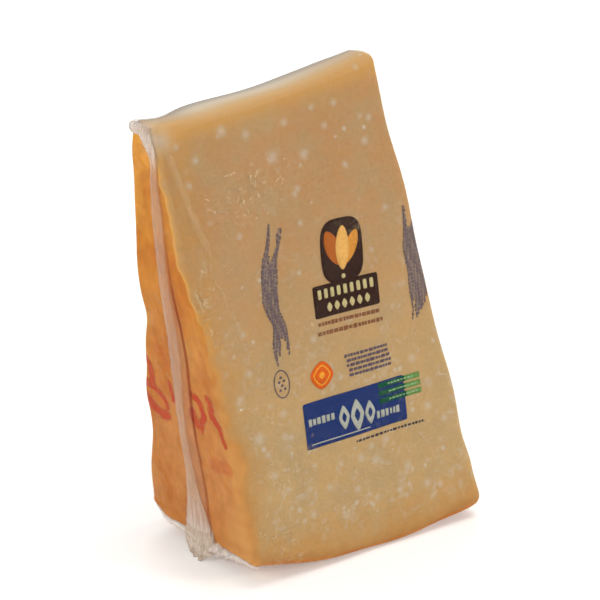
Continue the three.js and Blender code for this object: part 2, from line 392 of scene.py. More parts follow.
def agedCheese():
    # Grana paste is translucent fat and protein, cut with a wire: a waxy, slightly grainy skin that
    # light sinks into, with pale tyrosine crystals. The rind is the same paste, dried and oiled.
    # The film clings to it without a gap, so the shine is the film's.
    look = cheeseLook
    material, tree = newMaterial("grainyPasteAndOiledRind")
    mm = millimetres(tree)
    depth, height, edge, tanAndHighlight, spots = (
        addNode(tree, "Attribute", attribute_name=layer).outputs["Fac"] for layer in look["layers"])

    # paste: paler and greyer toward the rim, cloudy, warmer beside the rind, and finely grainy
    low = addNode(tree, "MapRange", [height, 30.0, 130.0], **softly)
    cloud = addNode(tree, "TexNoise", {"Vector": mm, "Scale": 1 / look["cloudSize"], "Detail": 4.0,
                                       "Roughness": 0.6})
    cloudy = addNode(tree, "MapRange", [cloud, 0.38, 0.66, 0.0, 0.6])
    patch = addNode(tree, "TexNoise", {"Vector": mm, "Scale": 1 / look["patchSize"]})
    wander = addNode(tree, "Math", [patch, 16.0, depth], operation="MULTIPLY_ADD")
    warmth = addNode(tree, "MapRange", [wander, 7.0, 24.0, 0.95, 0.0], **softly)
    paste = look["pasteLow"]
    for share, coat in ((low, "pasteHigh"), (cloudy, "pasteMottle"), (warmth, "pasteWarm")):
        paste = addNode(tree, "Mix", {0: share, 6: paste, 7: look[coat]}, data_type="RGBA")
    grain = addNode(tree, "TexNoise", {"Vector": mm, "Scale": 1 / look["grainSize"]})
    grainy = addNode(tree, "MapRange", [grain, 0.3, 0.7, 0.93, 1.06])
    paste = addNode(tree, "Mix", {0: 1.0, 6: paste, 7: grainy}, data_type="RGBA", blend_type="MULTIPLY")
    paste = addNode(tree, "Mix", {0: edge, 6: paste, 7: look["goldenEdge"]}, data_type="RGBA")

    # crystals: soft pale balls of 2 to 4 mm, and specks of about 1 mm, more of them low down
    bend = addNode(tree, "TexNoise", {"Vector": mm, "Scale": 1 / look["bendSize"], "Detail": 1.0})
    bent = addNode(tree, "VectorMath", [bend.outputs["Color"], (look["bend"],) * 3, mm],
                   operation="MULTIPLY_ADD")
    big = addNode(tree, "TexVoronoi", {"Vector": bent, "Scale": 1 / look["bigCrystalCell"]})
    bigPick = addNode(tree, "SeparateColor", {0: big.outputs["Color"]})
    bigSize = addNode(tree, "MapRange", [bigPick.outputs[0], 0.35, 1.0, 0.0, 0.30])
    bigSoft = addNode(tree, "Math", [bigSize, big.outputs["Distance"]], operation="SUBTRACT")
    bigMask = addNode(tree, "MapRange", [bigSoft, 0.0, 0.28, 0.0, 0.75], **softly)
    small = addNode(tree, "TexVoronoi", {"Vector": bent, "Scale": 1 / look["smallCrystalCell"]})
    smallPick = addNode(tree, "SeparateColor", {0: small.outputs["Color"]})
    lowMore = addNode(tree, "MapRange", [height, 120.0, 20.0, 0.90, 0.36])
    smallSize = addNode(tree, "MapRange", [smallPick.outputs[1], lowMore, 1.0, 0.0, 0.46])
    smallSoft = addNode(tree, "Math", [smallSize, small.outputs["Distance"]], operation="SUBTRACT")
    smallMask = addNode(tree, "MapRange", [smallSoft, 0.0, 0.34, 0.0, 0.95], **softly)
    # and ragged pale flecks where the paste broke instead of being cut
    crumb = addNode(tree, "TexNoise", {"Vector": mm, "Scale": 1 / look["crumbSize"], "Roughness": 0.6,
                                       "Distortion": 0.8})
    crumbs = addNode(tree, "MapRange", [crumb, 0.56, 0.74, 0.0, 0.7])
    lowOnly = addNode(tree, "MapRange", [height, 140.0, 50.0, 0.15, 1.0])
    flecks = addNode(tree, "Math", [crumbs, lowOnly], operation="MULTIPLY")
    drawn = bigMask
    for more in (smallMask, flecks, spots):
        drawn = addNode(tree, "Math", [drawn, more], operation="MAXIMUM")
    inside = addNode(tree, "MapRange", [depth, 3.0, 9.0, 0.0, 0.75])
    crystals = addNode(tree, "Math", [drawn, inside], operation="MULTIPLY")
    paste = addNode(tree, "Mix", {0: crystals, 6: paste, 7: look["crystal"]}, data_type="RGBA")

    # rind: about 1 mm of dark skin, then a waxy orange band that fades inward
    mottle = addNode(tree, "TexNoise", {"Vector": mm, "Scale": 1 / look["mottleSize"], "Detail": 4.0,
                                        "Roughness": 0.6})
    mottled = addNode(tree, "MapRange", [mottle, 0.40, 0.66, 0.0, 0.8])
    # painted light: the rind turns brighter toward the top
    high = addNode(tree, "MapRange", [height, 110.0, 152.0], **softly)
    rind = look["rindLow"]
    for share, coat in ((low, "rind"), (high, "rindLitTop"), (mottled, "rindMottle")):
        rind = addNode(tree, "Mix", {0: share, 6: rind, 7: look[coat]}, data_type="RGBA")
    scuff = addNode(tree, "TexNoise", {"Vector": mm, "Scale": 1 / look["scuffSize"], "Detail": 4.0,
                                       "Roughness": 0.65})
    scuffed = addNode(tree, "MapRange", [scuff, 0.3, 0.7, 0.87, 1.16])
    rind = addNode(tree, "Mix", {0: 1.0, 6: rind, 7: scuffed}, data_type="RGBA", blend_type="MULTIPLY")
    torn = addNode(tree, "TexNoise", {"Vector": mm, "Scale": 1 / look["tearSize"], "Detail": 3.0,
                                      "Roughness": 0.6})
    tear = addNode(tree, "MapRange", [depth, 0.0, 1.2, 0.0, 4.4])
    ragged = addNode(tree, "Math", [torn, tear, depth], operation="MULTIPLY_ADD")
    band = addNode(tree, "MapRange", [ragged, *look["bandFades"]], **softly)
    waxy = addNode(tree, "Mix", {0: low, 6: look["underRindLow"], 7: look["underRind"]}, data_type="RGBA")
    inner = addNode(tree, "Mix", {0: band, 6: waxy, 7: paste}, data_type="RGBA")
    skin = addNode(tree, "MapRange", [ragged, *look["skinFades"]], **softly)
    colour = addNode(tree, "Mix", {0: skin, 6: rind, 7: inner}, data_type="RGBA")
    # the lighter band along the lower cut edge: partly tan rind, partly a painted highlight
    colour = addNode(tree, "Mix", {0: tanAndHighlight, 6: colour, 7: look["tanAndHighlightRind"]}, data_type="RGBA")

    relief = addNode(tree, "Math", [grain, crystals], operation="ADD")
    bump = addNode(tree, "Bump", {"Height": relief, "Strength": 0.35, "Distance": 0.0002})
    shine = addNode(tree, "MapRange", [grain, 0.0, 1.0, 0.42, 0.58])
    surface = addNode(tree, "BsdfPrincipled", {
        "Base Color": colour, "Roughness": shine, "Normal": bump, "IOR": 1.45, "Specular IOR Level": 0.0,
        "Subsurface Weight": 0.35, "Subsurface Radius": (1.0, 0.55, 0.22), "Subsurface Scale": 0.0022})
    addNode(tree, "OutputMaterial", {"Surface": surface})
    return material


def shapeWedge(look, setVert):
    # the wedge's skin as a grid; setVert gets each vertex, its u, v and w, and the layers it fills
    lines, turns = look["lines"], look["edgeTurns"]
    bm = boxLattice(lines)
    layers = {name: bm.verts.layers.float.new(name) for name in look["layers"]}
    for vert in bm.verts:
        u = gridLine(vert.co.x, lines[0], insetU, turns)
        w = gridLine(vert.co.z, lines[2], insetW, turns)
        sharp = sharpPoint(u, 0, w)
        v = gridLine(vert.co.y, lines[1], wedge["edgeRadius"] / halfDepth(sharp.x, sharp.z), turns)
        setVert(vert, u, v, w, layers)
    return bm


def cheeseVert(vert, u, v, w, layers):
    look = cheeseLook
    point = skinPoint(u, v, w, look["under"])
    rough = look["grainDepth"] * noise.noise(point / 2.3)
    onFront = v < -0.9
    # the rind was trimmed off along the upper cut edge, where bare paste turns onto the rind face
    bare = look["trimLeast"] + 2.2 * noise.noise(Vector((2, 7, point.z / 6)))
    if v < 0:
        bare += (look["trimMost"] - look["trimLeast"]) * smooth(point.z, *look["trimHeights"])
    fromEdge = halfDepth(0, point.z) - abs(point.y)
    fromRim = 0.65 * (w + 1) / 2 * (wedge["tipHeight"] + barrel(point.x))
    # lower down it broke away unevenly, where it reaches round onto the printed face
    reach = 0
    if onFront:
        reach = look["breakReach"] * math.exp(-((point.z - look["breakAt"]) / 8) ** 2)
        reach += 1.6 * noise.noise(Vector((9, 4, point.z / 7)))
    vert[layers["rindDepth"]] = max(0.0, min(max(point.x - reach, bare - fromEdge), fromRim))
    # a lighter band beside the printed face, low down: partly tan rind, partly a painted highlight on the
    # rounded edge
    if point.y < 0:
        low = smooth(point.z, 28, 6)
        near = smooth(fromEdge, lerp(look["edgeBandWidth"], look["edgeBandCorner"], low), 1.5)
        near *= smooth(point.x - reach, 4.5, 0.8) * smooth(point.z, *look["edgeBandHeights"])
        blotch = 0.7 * noise.noise(Vector((point.x / 3, 4, point.z / 5)))
        vert[layers["wornEdge"]] = near * clamp(0.72 + 0.12 * low + blotch, 0.3, 0.95)
    vert[layers["heightUp"]] = point.z
    vert[layers["tipEdge"]] = 0.68 * smooth(point.z, 159, 167) + 0.22 * smooth(point.z, 147, 164)
    if onFront:
        for x, z, radius in bigCrystals:
            away = math.hypot(point.x - x, point.z - z) + 0.5 * noise.noise(point / 1.3)
            fade = 0.9 - 0.9 * smooth(away, 0, radius * 1.7)
            vert[layers["bigCrystal"]] = max(vert[layers["bigCrystal"]], fade)
    # the grain stands outward from a line through the wedge's middle
    outward = (point - Vector((point.x * 0.9 + 5, 0, point.z * 0.9 + 8))).normalized()
    vert.co = stand(point + outward * rough)


bm = shapeWedge(cheeseLook, cheeseVert)
finishPiece("cheese", bm, [agedCheese()])

# the clear film

filmLook = {
    "layers": ("crinkle", "haze", "loose", "cool", "farEdge"),
    "lines": (84, 48, 150),        # about 1.3 mm apart
    "edgeTurns": 4,
    "wrinkle": 0.28,               # mm that the film stands off in its wrinkles
    "ior": 1.5,
    "roughness": 0.13,
    "shine": 0.20,                 # the wet cheese under it takes much of what a free film would reflect
    "haze": "#E6CCA0",
    "slackHaze": "#C5B9A8",
    # painted shade for the tip's far edge
    "turnedAwayGrey": "#9C968E",
    "foldSize": 5.0,               # mm between its fine folds,
    "swellSize": 9.0,              # across its slow swells,
    "fleckSize": 3.4,              # and across the flecks under it
    "tipHazeAndReflection": 0.46,               # how milky it is over the tip, partly a painted reflection of the light above, at the rind end,
    "tipHazeMore": 0.30,           # how much more along its middle,
    "tipHazeLess": 0.22,           # and less toward the far end
    "webHaze": 0.56,               # in the web where the seal ends
}

# where the film is crinkled on the printed face: x, z, reach, amount
crinkled = [
    (24, 136, 8, 0.8), (35, 137, 9, 1.0), (47, 139, 8, 0.7), (33, 131, 7, 0.6), (2, 104, 6, 1.0),
    (6, 116, 7, 0.5), (4, 92, 7, 0.6), (47, 76, 6, 0.6), (15, 58, 14, 0.45), (24, 30, 16, 0.5),
    (60, 12, 18, 0.45), (88, 40, 12, 0.35), (95, 18, 14, 0.4), (76, 110, 10, 0.25), (12, 2, 12, 0.8),
]


def milkyFilm(tree, milk, through, tint, bump, polish, shine):
    # clear film, milky in part, with a gloss that grows toward grazing angles
    clear = addNode(tree, "BsdfTransparent", {"Color": through})
    white = addNode(tree, "BsdfDiffuse", {"Color": tint, "Normal": bump})
    body = addNode(tree, "MixShader", [milk, clear, white])
    gloss = addNode(tree, "BsdfGlossy", {"Color": "#FFFFFF", "Roughness": polish, "Normal": bump})
    facing = addNode(tree, "Fresnel", {"IOR": filmLook["ior"], "Normal": bump})
    share = addNode(tree, "Math", [facing, shine], operation="MULTIPLY")
    surface = addNode(tree, "MixShader", [share, body, gloss])
    addNode(tree, "OutputMaterial", {"Surface": surface})


def vacuumFilm(name, shine):
    # Polyamide and polyethylene pouch film, some 0.1 mm thick and cast clear: next to no colour,
    # a sharp gloss, and fine crinkles where it shrank. Slack or folded, it turns milky.
    look = filmLook
    material, tree = newMaterial(name)
    mm = millimetres(tree)
    amount, cloud, loose, cool, turnedAwayShade = (
        addNode(tree, "Attribute", attribute_name=layer).outputs["Fac"] for layer in look["layers"])
    bend = addNode(tree, "TexNoise", {"Vector": mm, "Scale": 1 / look["foldSize"]})
    bent = addNode(tree, "VectorMath", [bend.outputs["Color"], (look["foldSize"],) * 3, mm],
                   operation="MULTIPLY_ADD")
    folds = addNode(tree, "TexVoronoi", {"Vector": bent, "Scale": 1 / look["foldSize"]},
                    feature="DISTANCE_TO_EDGE")
    fold = addNode(tree, "MapRange", [folds, 0.0, 0.17, 1.0, 0.0], **softly)
    slow = addNode(tree, "TexNoise", {"Vector": mm, "Scale": 1 / look["swellSize"], "Detail": 3.0})
    slowUp = addNode(tree, "Math", [slow, 0.6], operation="MULTIPLY")
    relief = addNode(tree, "Math", [fold, amount, slowUp], operation="MULTIPLY_ADD")
    bump = addNode(tree, "Bump", {"Height": relief, "Strength": 0.8, "Distance": 0.0007})
    # where it is crinkled, air and fat under it show as soft cream flecks
    fleck = addNode(tree, "TexNoise", {"Vector": mm, "Scale": 1 / look["fleckSize"], "Roughness": 0.6,
                                       "Distortion": 1.4})
    flecks = addNode(tree, "MapRange", [fleck, 0.54, 0.72, 0.0, 0.44])
    hazed = addNode(tree, "Math", [flecks, amount, cloud], operation="MULTIPLY_ADD", use_clamp=True)
    tint = addNode(tree, "Mix", {0: cool, 6: look["haze"], 7: look["slackHaze"]}, data_type="RGBA")
    # greyer along the tip's far edge, where it turns away: painted shade
    tint = addNode(tree, "Mix", {0: turnedAwayShade, 6: tint, 7: look["turnedAwayGrey"]}, data_type="RGBA")
    dulled = addNode(tree, "MapRange", [cloud, 0.0, 0.5, look["roughness"], 0.42])
    held = addNode(tree, "MapRange", [loose, 0.0, 1.0, shine, 0.15 * shine])
    milkyFilm(tree, hazed, (0.985, 0.98, 0.97, 1), tint, bump, dulled, held)
    return material


def filmVert(vert, u, v, w, layers):
    look = filmLook
    point = skinPoint(u, v, w)
    if v < -0.9:
        amount = max(part * math.exp(-((point.x - x) ** 2 + (point.z - z) ** 2) / reach ** 2)
                     for x, z, reach, part in crinkled)
    else:
        amount = 0.12 + 0.4 * noise.noise(point / 22)
    # slack over the tip, so matt and milky there, and in the web at the corner where the seal ends; over the
    # tip the milk is also a painted reflection of the bright light above
    onTip = smooth(w, 0.95, 1.0)
    amount = clamp(amount) * (1 - onTip)
    ridge = 1 - abs(noise.noise(point / 6.5 + Vector((3, 1, 7))))
    alongTip = look["tipHazeAndReflection"] + look["tipHazeMore"] * smooth(point.x, 8, 24)
    alongTip -= look["tipHazeLess"] * smooth(point.x, 50, 96)
    # the milk over the tip is partly a painted reflection of the bright light above
    tipMilkAndReflection = smooth(w, 1 - 1.1 * insetW, 1.0) * alongTip * lerp(0.32, 1.10, smooth(v, -1.1, 0.2))
    fromCorner = (point.x / 4.6) ** 2 + (max(0.0, 166 - point.z) / 5.5) ** 2
    web = look["webHaze"] * math.exp(-fromCorner) * smooth(point.y, 5, -3) * (1 - 0.7 * onTip)
    vert[layers["crinkle"]] = amount
    vert[layers["loose"]] = smooth(w, 0.90, 0.955)
    vert[layers["cool"]] = max(smooth(w, 0.98, 1.0) * smooth(v, -1.0, 0.4), clamp(1.6 * web))
    vert[layers["haze"]] = clamp(0.02 * amount + tipMilkAndReflection + web, 0.0, 0.85)
    # painted shade along the tip's far edge, where it turns away
    vert[layers["farEdge"]] = smooth(w, 0.95, 0.99) * smooth(v, 0.1, 0.8)
    vert.co = stand(skinPoint(u, v, w, look["wrinkle"] * amount * ridge ** 6))


bm = shapeWedge(filmLook, filmVert)
clearFilm = vacuumFilm("vacuumFilm", filmLook["shine"])
filmShell = finishPiece("filmShell", bm, [clearFilm])
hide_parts("packed_chunk")

# the seal down the rind face

seal = {
    "lines": (2, 26, 240),
    "ridge": 0.85,           # mm high along its weld, and in the flat flap beside it
    "flap": 0.3,
    "overlap": 1.4,          # mm that its back is sunk in the cheese
    "thinFilm": "#DCC9B4",
    "thickFilm": "#E8D8CB",
    # painted shadow: the tint along the free flap's edge
    "rim": "#DDB184",
    "streakSize": 0.8,       # mm across its draw streaks and its crumples
    "crumpleSize": 2.6,
    "milk": 0.23,            # how milky it is, how much more near the rim, and at the pinched top, where the extra milk is partly a painted highlight
    "milkLow": 0.14,
    "topMilkAndHighlight": 0.36,
    # height, then across the rind face: the free flap's edge, where the weld starts, and its far edge
    "path": [
        (-3, -8.6, -7.0, 11.0), (8, -7.3, -6.0, 9.0), (22, -7.6, -0.8, 6.6), (42, -6.4, 0.3, 5.7),
        (75, -6.2, -1.4, 5.5), (108, -5.4, -3.0, 3.3), (133, -4.9, -4.4, 2.0), (147, -5.0, -4.7, -0.3),
        (156, -6.6, -6.3, -1.8), (161, -6.8, -6.5, 0.2), (169.3, -4.0, -3.6, 9.4),
    ],
}


def weldedFilm():
    # Two film layers welded flat: milky with lengthwise draw streaks, clear in the free flap beside it
    material, tree = newMaterial("weldedSealFilm")
    mm = millimetres(tree)
    cloud, rim, pinch = (
        addNode(tree, "Attribute", attribute_name=layer).outputs["Fac"] for layer in ("haze", "rim", "pinch"))
    stretched = addNode(tree, "Mapping", {"Vector": mm, "Scale": (1.0, 1.0, 0.06)})
    streak = addNode(tree, "TexNoise", {"Vector": stretched, "Scale": 1 / seal["streakSize"]})
    crumple = addNode(tree, "TexNoise", {"Vector": mm, "Scale": 1 / seal["crumpleSize"], "Detail": 3.0})
    relief = addNode(tree, "Math", [streak, crumple], operation="ADD")
    bump = addNode(tree, "Bump", {"Height": relief, "Strength": 0.35, "Distance": 0.0005})
    streaky = addNode(tree, "MapRange", [streak, 0.3, 0.7, 0.7, 1.1])
    milky = addNode(tree, "Math", [cloud, streaky], operation="MULTIPLY", use_clamp=True)
    # the free flap's edge tints what shows through it: a painted shadow line
    clear = addNode(tree, "Mix", {0: rim, 6: "#FDFAF5", 7: seal["rim"]}, data_type="RGBA")
    thick = addNode(tree, "MapRange", [milky, 0.32, 0.52])
    tint = addNode(tree, "Mix", {0: thick, 6: seal["thinFilm"], 7: seal["thickFilm"]}, data_type="RGBA")
    polish = addNode(tree, "MapRange", [pinch, 0.0, 1.0, 0.22, 0.10])
    free = addNode(tree, "MapRange", [pinch, 0.0, 1.0, 0.35, 0.9])
    milkyFilm(tree, milky, clear, tint, bump, polish, free)
    return material


bm = boxLattice(seal["lines"])
hazeLayer, flapShadowLayer, pinchLayer = (bm.verts.layers.float.new(name) for name in ("haze", "rim", "pinch"))
for vert in bm.verts:
    z, flapY, weldY, farY = lineAt(seal["path"], (vert.co.z + 1) / 2)
    across = (vert.co.y + 1) / 2
    flapY += 0.3 * noise.noise(Vector((0, 3, z / 11)))
    farY += 0.4 * noise.noise(Vector((5, 0, z / 8)))
    y = lerp(flapY, farY, across)
    point = rindPoint(y, z)
    pinch = smooth(z, 153, 162)
    ridge = math.sin(math.pi * clamp((y - weldY) / (farY - weldY))) ** 0.7
    flat = seal["flap"] * (1 - 0.8 * smooth(across, 0.85, 1)) * smooth(across, 0, 0.05)
    height = max(flat, seal["ridge"] * ridge * (1 + 0.5 * pinch))
    height *= 1 + (0.18 + 0.3 * pinch) * noise.noise(Vector((across * 3, 0, z / 5)) * (1 + pinch))
    # it runs out in the film over the tip
    height *= 1 - 0.9 * smooth(z, 162, 169) * smooth(across, 1.0, 0.6)
    point.z = lerp(z, point.z, smooth(z, 155, 165))
    point.x += -height if vert.co.x < 0 else seal["overlap"] * (vert.co.x + 1) / 2
    body = smooth(y, weldY - 0.9, weldY + 0.7) * (1 - 0.45 * smooth(across, 0.88, 1.0))
    milk = seal["milk"] + 0.05 * smooth(z, 100, 40)
    # the extra milk at the pinched top is partly a painted highlight
    milk += seal["milkLow"] * smooth(z, 32, 4) + seal["topMilkAndHighlight"] * smooth(z, 150, 160)
    milk *= 1 - 0.3 * smooth(z, 164, 169) * smooth(across, 0.7, 0.1)
    vert[hazeLayer] = clamp(milk * body + 0.015 + 0.30 * smooth(z, 12, -3) * (1 - 0.5 * body))
    # a painted shadow line along the free flap's edge, stronger lower down
    flapShadowStrength = (0.1 + 0.9 * smooth(z, 130, 95)) * (1 - 0.55 * smooth(z, 52, 22))
    vert[flapShadowLayer] = smooth(across, 0.10, 0.05) * flapShadowStrength
    vert[pinchLayer] = pinch
    vert.co = stand(point)
sealFilm = weldedFilm()
finishPiece("filmSeal", bm, [sealFilm])

# the gathered end, the film bunched along the rim, and the pinched corner

gather = {
    "pleatSize": 2.4,        # mm across its pleats and its facets
    "facetSize": 2.2,
    "tailLines": (3, 64, 34),
    "tailWidth": 18.0,
    "tailDrop": 10.2,
    "tailThickness": 5.5,
    "tailMilk": 0.40,
    "rollSides": 20,
    "rollCuts": 110,
    "rollReach": 35.0,
    "rollRadius": 2.1,
    "earRadius": 3.2,
    "rolled": {"light": "#E6D8CC", "dark": "#C6B5A6", "milk": (0.40, 0.70), "shine": 0.3},
    "pinched": {"light": "#F4ECE6", "dark": "#D2C4BA", "milk": (0.36, 0.70), "shine": 0.9},
}


def gatheredFilm(name, look):
    # The same film bunched into pleats: many bright and grey facets, only partly seen through
    material, tree = newMaterial(name)
    mm = millimetres(tree)
    hung = addNode(tree, "Mapping", {"Vector": mm, "Scale": (1.0, 1.0, 0.45)})
    pleats = addNode(tree, "TexNoise", {"Vector": hung, "Scale": 1 / gather["pleatSize"], "Detail": 3.0,
                                        "Distortion": 0.8})
    facet = addNode(tree, "TexVoronoi", {"Vector": hung, "Scale": 1 / gather["facetSize"]},
                    feature="SMOOTH_F1")
    relief = addNode(tree, "Math", [pleats, facet], operation="ADD")
    bump = addNode(tree, "Bump", {"Height": relief, "Strength": 0.45, "Distance": 0.0006})
    milk = addNode(tree, "MapRange", [pleats, 0.3, 0.7, *look["milk"]])
    tone = addNode(tree, "Mix", {0: facet, 6: look["light"], 7: look["dark"]}, data_type="RGBA")
    milkyFilm(tree, milk, "#F7F2EE", tone, bump, 0.12, look["shine"])
    return material


bm = boxLattice(gather["tailLines"])
hazeLayer, pinchLayer = (bm.verts.layers.float.new(name) for name in ("haze", "pinch"))
for vert in bm.verts:
    p = vert.co / 2
    down = 0.5 - p.z
    width = gather["tailWidth"] * (0.95 + 0.25 * down - 0.5 * down ** 3)
    fall = smooth(down, 0.0, 0.45)
    pleat = (0.55 * math.sin(p.y * 24 + 2 * down) + 0.18 * math.sin(p.y * 61 + 5 * down)) * fall
    thickness = gather["tailThickness"] * (0.25 + 0.75 * fall) * (1 - 0.3 * down)
    thickness *= math.sqrt(max(1 - 3.2 * p.y * p.y, 0.12))
    hem = 1.3 * math.cos(p.y * 7) * down
    height = 4 - (4 + gather["tailDrop"]) * down - hem
    point = Vector((0.9 - 3.0 * down + p.x * thickness + pleat, 0.4 + p.y * width, height))
    point += 1.1 * down * noise.noise_vector(point / 3.4)
    vert[hazeLayer] = gather["tailMilk"]
    vert[pinchLayer] = 0.2 + 0.6 * down
    vert.co = stand(point)
finishPiece("filmTail", bm, [sealFilm])

bm = bmesh.new()
bmesh.ops.create_cone(bm, cap_ends=True, segments=gather["rollSides"], radius1=1, radius2=1, depth=2)
lengthwise = [edge for edge in bm.edges if abs(edge.verts[0].co.z - edge.verts[1].co.z) > 1]
bmesh.ops.subdivide_edges(bm, edges=lengthwise, cuts=gather["rollCuts"], use_grid_fill=True)
for vert in bm.verts:
    y = -vert.co.z * gather["rollReach"]
    taper = 0.5 + (gather["rollRadius"] - 0.3) * (1 - abs(vert.co.z) ** 2.2)
    taper += 1.2 * math.exp(-((y + 6) / 11) ** 2)
    # bunched up beside the tail, on the printed face's side, and drawn smooth farther out
    bunch = 0.25 + 0.75 * smooth(abs(y + 12), 12, 3)
    lump = 1 + 0.22 * bunch * math.sin(y * 1.1 + 3 * math.atan2(vert.co.y, vert.co.x))
    rim = rindPoint(y, -2.2)
    point = Vector((rim.x + 1.4 + vert.co.x * taper * lump, y, rim.z - 1.6 - vert.co.y * taper * lump))
    point += 0.5 * bunch * noise.noise_vector(point / 3.5)
    vert.co = stand(point)
finishPiece("filmRoll", bm, [gatheredFilm("rolledFilm", gather["rolled"])])

bm = bmesh.new()
bmesh.ops.create_icosphere(bm, subdivisions=5, radius=gather["earRadius"])
for vert in bm.verts:
    p = vert.co.copy()
    pull = smooth(p.y, 0, gather["earRadius"])
    height = wedge["tipHeight"] - 3.6 + 0.95 * p.z + 1.0 * pull
    point = Vector((1.7 + 0.75 * p.x - 0.8 * pull, 6.6 + p.y * 1.05, height))
    point += 0.5 * noise.noise_vector(point / 2.2)
    vert.co = stand(point)
finishPiece("filmEar", bm, [gatheredFilm("gatheredFilm", gather["pinched"])])
print("film made")

# the print on the film's inner face: plain fields, bars and dashes that spell nothing

printLook = {
    "under": -0.24,          # mm below the film's outer face
    "layerStep": 0.05,
    "coat": 0.02,            # mm thick, so that each ink is closed
    "screenSize": 0.7,       # mm across its mottle
    "cutEvery": 2.5,         # mm between the cuts that let a field follow the face
    "inks": {
        "dark": "#2E1810", "pale": "#B9AC7C", "orange": "#A4581A", "amber": "#C58633", "straw": "#D5A458",
        "seal": "#CC580E", "yellow": "#E2982C", "blue": "#122A63", "blueGrey": "#A3A69C", "green": "#004A34",
        "leaf": "#5C8642", "mint": "#86AE84", "violet": "#5B4C58", "brown": "#7E4E32", "navy": "#3A3038",
        "plum": "#68585B", "wash": "#9A877A",
    },
    "washCover": 0.6,        # printed as a light screen under the plum dashes
    "seed": 7,
}
inkNames = list(printLook["inks"])
chance = random.Random(printLook["seed"])


def flexoInk(name, code, full):
    # Flexographic ink, a few microns on film: flat even colour with faint screen mottle and pinholes
    material, tree = newMaterial(name)
    mm = millimetres(tree)
    screen = addNode(tree, "TexNoise", {"Vector": mm, "Scale": 1 / printLook["screenSize"]})
    tone = addNode(tree, "MapRange", [screen, 0.3, 0.7, 0.88, 1.12])
    colour = addNode(tree, "Mix", {0: 1.0, 6: code, 7: tone}, data_type="RGBA", blend_type="MULTIPLY")
    cover = addNode(tree, "MapRange", [screen, 0.26, 0.36, 0.75 * full, full])
    surface = addNode(tree, "BsdfPrincipled", {
        "Base Color": colour, "Roughness": 0.5, "IOR": 1.5, "Specular IOR Level": 0.05, "Alpha": cover})
    addNode(tree, "OutputMaterial", {"Surface": surface})
    return material


inkMaterials = [flexoInk(name + "FilmInk", code, printLook["washCover"] if name == "wash" else 1.0)
                for name, code in printLook["inks"].items()]


def addShape(bm, at, size, ink, layer, turn, roundness=None, sides=None):
    # a bar, or with roundness a disc (2), a leaf (1.75), a diamond (up to 1.5) or a rounded tile (over 3)
    if roundness:
        made = bmesh.ops.create_circle(bm, cap_ends=True, segments=sides, radius=1.0)["verts"]
        for vert in made:
            angle = math.atan2(vert.co.y, vert.co.x)
            for axis, part in enumerate((math.cos(angle), math.sin(angle))):
                vert.co[axis] = math.copysign(abs(part) ** (2 / roundness), part)
    else:
        made = bmesh.ops.create_grid(bm, x_segments=1, y_segments=1, size=1.0)["verts"]
    place = (Matrix.Translation((at[0], layer, at[1])) @ Matrix.Rotation(math.radians(turn), 4, "Y")
             @ Matrix.Diagonal((size[0] / 2, 1, size[1] / 2, 1)) @ Matrix.Rotation(math.radians(90), 4, "X"))
    bmesh.ops.transform(bm, matrix=place, verts=made)
    for face in {face for vert in made for face in vert.link_faces}:
        face.material_index = inkNames.index(ink)


def turned(group, right, up):
    # the place that many mm right and up of the middle of a group turned clockwise
    s, c = math.sin(math.radians(group["turn"])), math.cos(math.radians(group["turn"]))
    return group["at"][0] + right * c + up * s, group["at"][1] - right * s + up * c


def addShapes(bm, group, shapes):
    # each is right and up of the group's middle, size, ink, layer, lean, and an outline's roundness and sides
    for right, up, size, ink, layer, lean, *outline in shapes:
        addShape(bm, turned(group, right, up), size, ink, layer, group["turn"] + lean, *outline)


def addRow(bm, at, length, height, ink, layer, turn, dash, gap):
    # a row of dashes of chance lengths
    row = {"at": at, "turn": turn}
    along = -length / 2
    while along < length / 2 - dash[0]:
        step = min(chance.uniform(*dash), length / 2 - along)
        size = (step, height * chance.uniform(0.8, 1.1))
        addShape(bm, turned(row, along + step / 2, 0), size, ink, layer, turn)
        along += step + gap * chance.uniform(0.7, 1.3)


def addColumns(bm, left, right, ends, width):
    # wavy upright columns of dashes between two edge lines, over a light wash of the same shape;
    # ends is where each starts and stops
    made = bmesh.ops.create_grid(bm, x_segments=len(ends) - 1, y_segments=60, size=1.0)["verts"]
    bm.faces.index_update()
    for face in sorted({face for vert in made for face in vert.link_faces}, key=lambda face: face.index):
        middle = face.calc_center_median()
        k, t = int((middle.x + 1) / 2 * (len(ends) - 1)), (middle.y + 1) / 2
        face.material_index = inkNames.index("wash")
        if not max(ends[k][0], ends[k + 1][0]) - 0.03 < t < min(ends[k][1], ends[k + 1][1]):
            bm.faces.remove(face)
    for vert in made:
        across, t = (vert.co.x + 1) / 2, (vert.co.y + 1) / 2
        spot = lineAt(left, t).lerp(lineAt(right, t), across)
        vert.co = (spot.x, 0, spot.y)
    for k, (start, stop) in enumerate(ends):
        across = k / (len(ends) - 1)
        total = sum((lineAt(left, (j + 1) / 20) - lineAt(left, j / 20)).length for j in range(20))
        along = start
        while along < stop:
            step = chance.uniform(0.6, 1.7) / total
            a, b = (lineAt(left, s).lerp(lineAt(right, s), across) for s in (along, along + step))
            wiggle = 0.30 * math.sin(a.y / 2.6 + 1.7 * k) + 0.35 * noise.noise(Vector((k * 2.0, a.y / 4, 0)))
            size = (width * chance.uniform(0.8, 1.2), (b - a).length)
            lean = math.degrees(math.atan2(b.x - a.x, b.y - a.y))
            addShape(bm, (a + b) / 2 + Vector((wiggle, 0)), size, "plum", 1, lean)
            along += step + chance.uniform(0.25, 0.5) / total


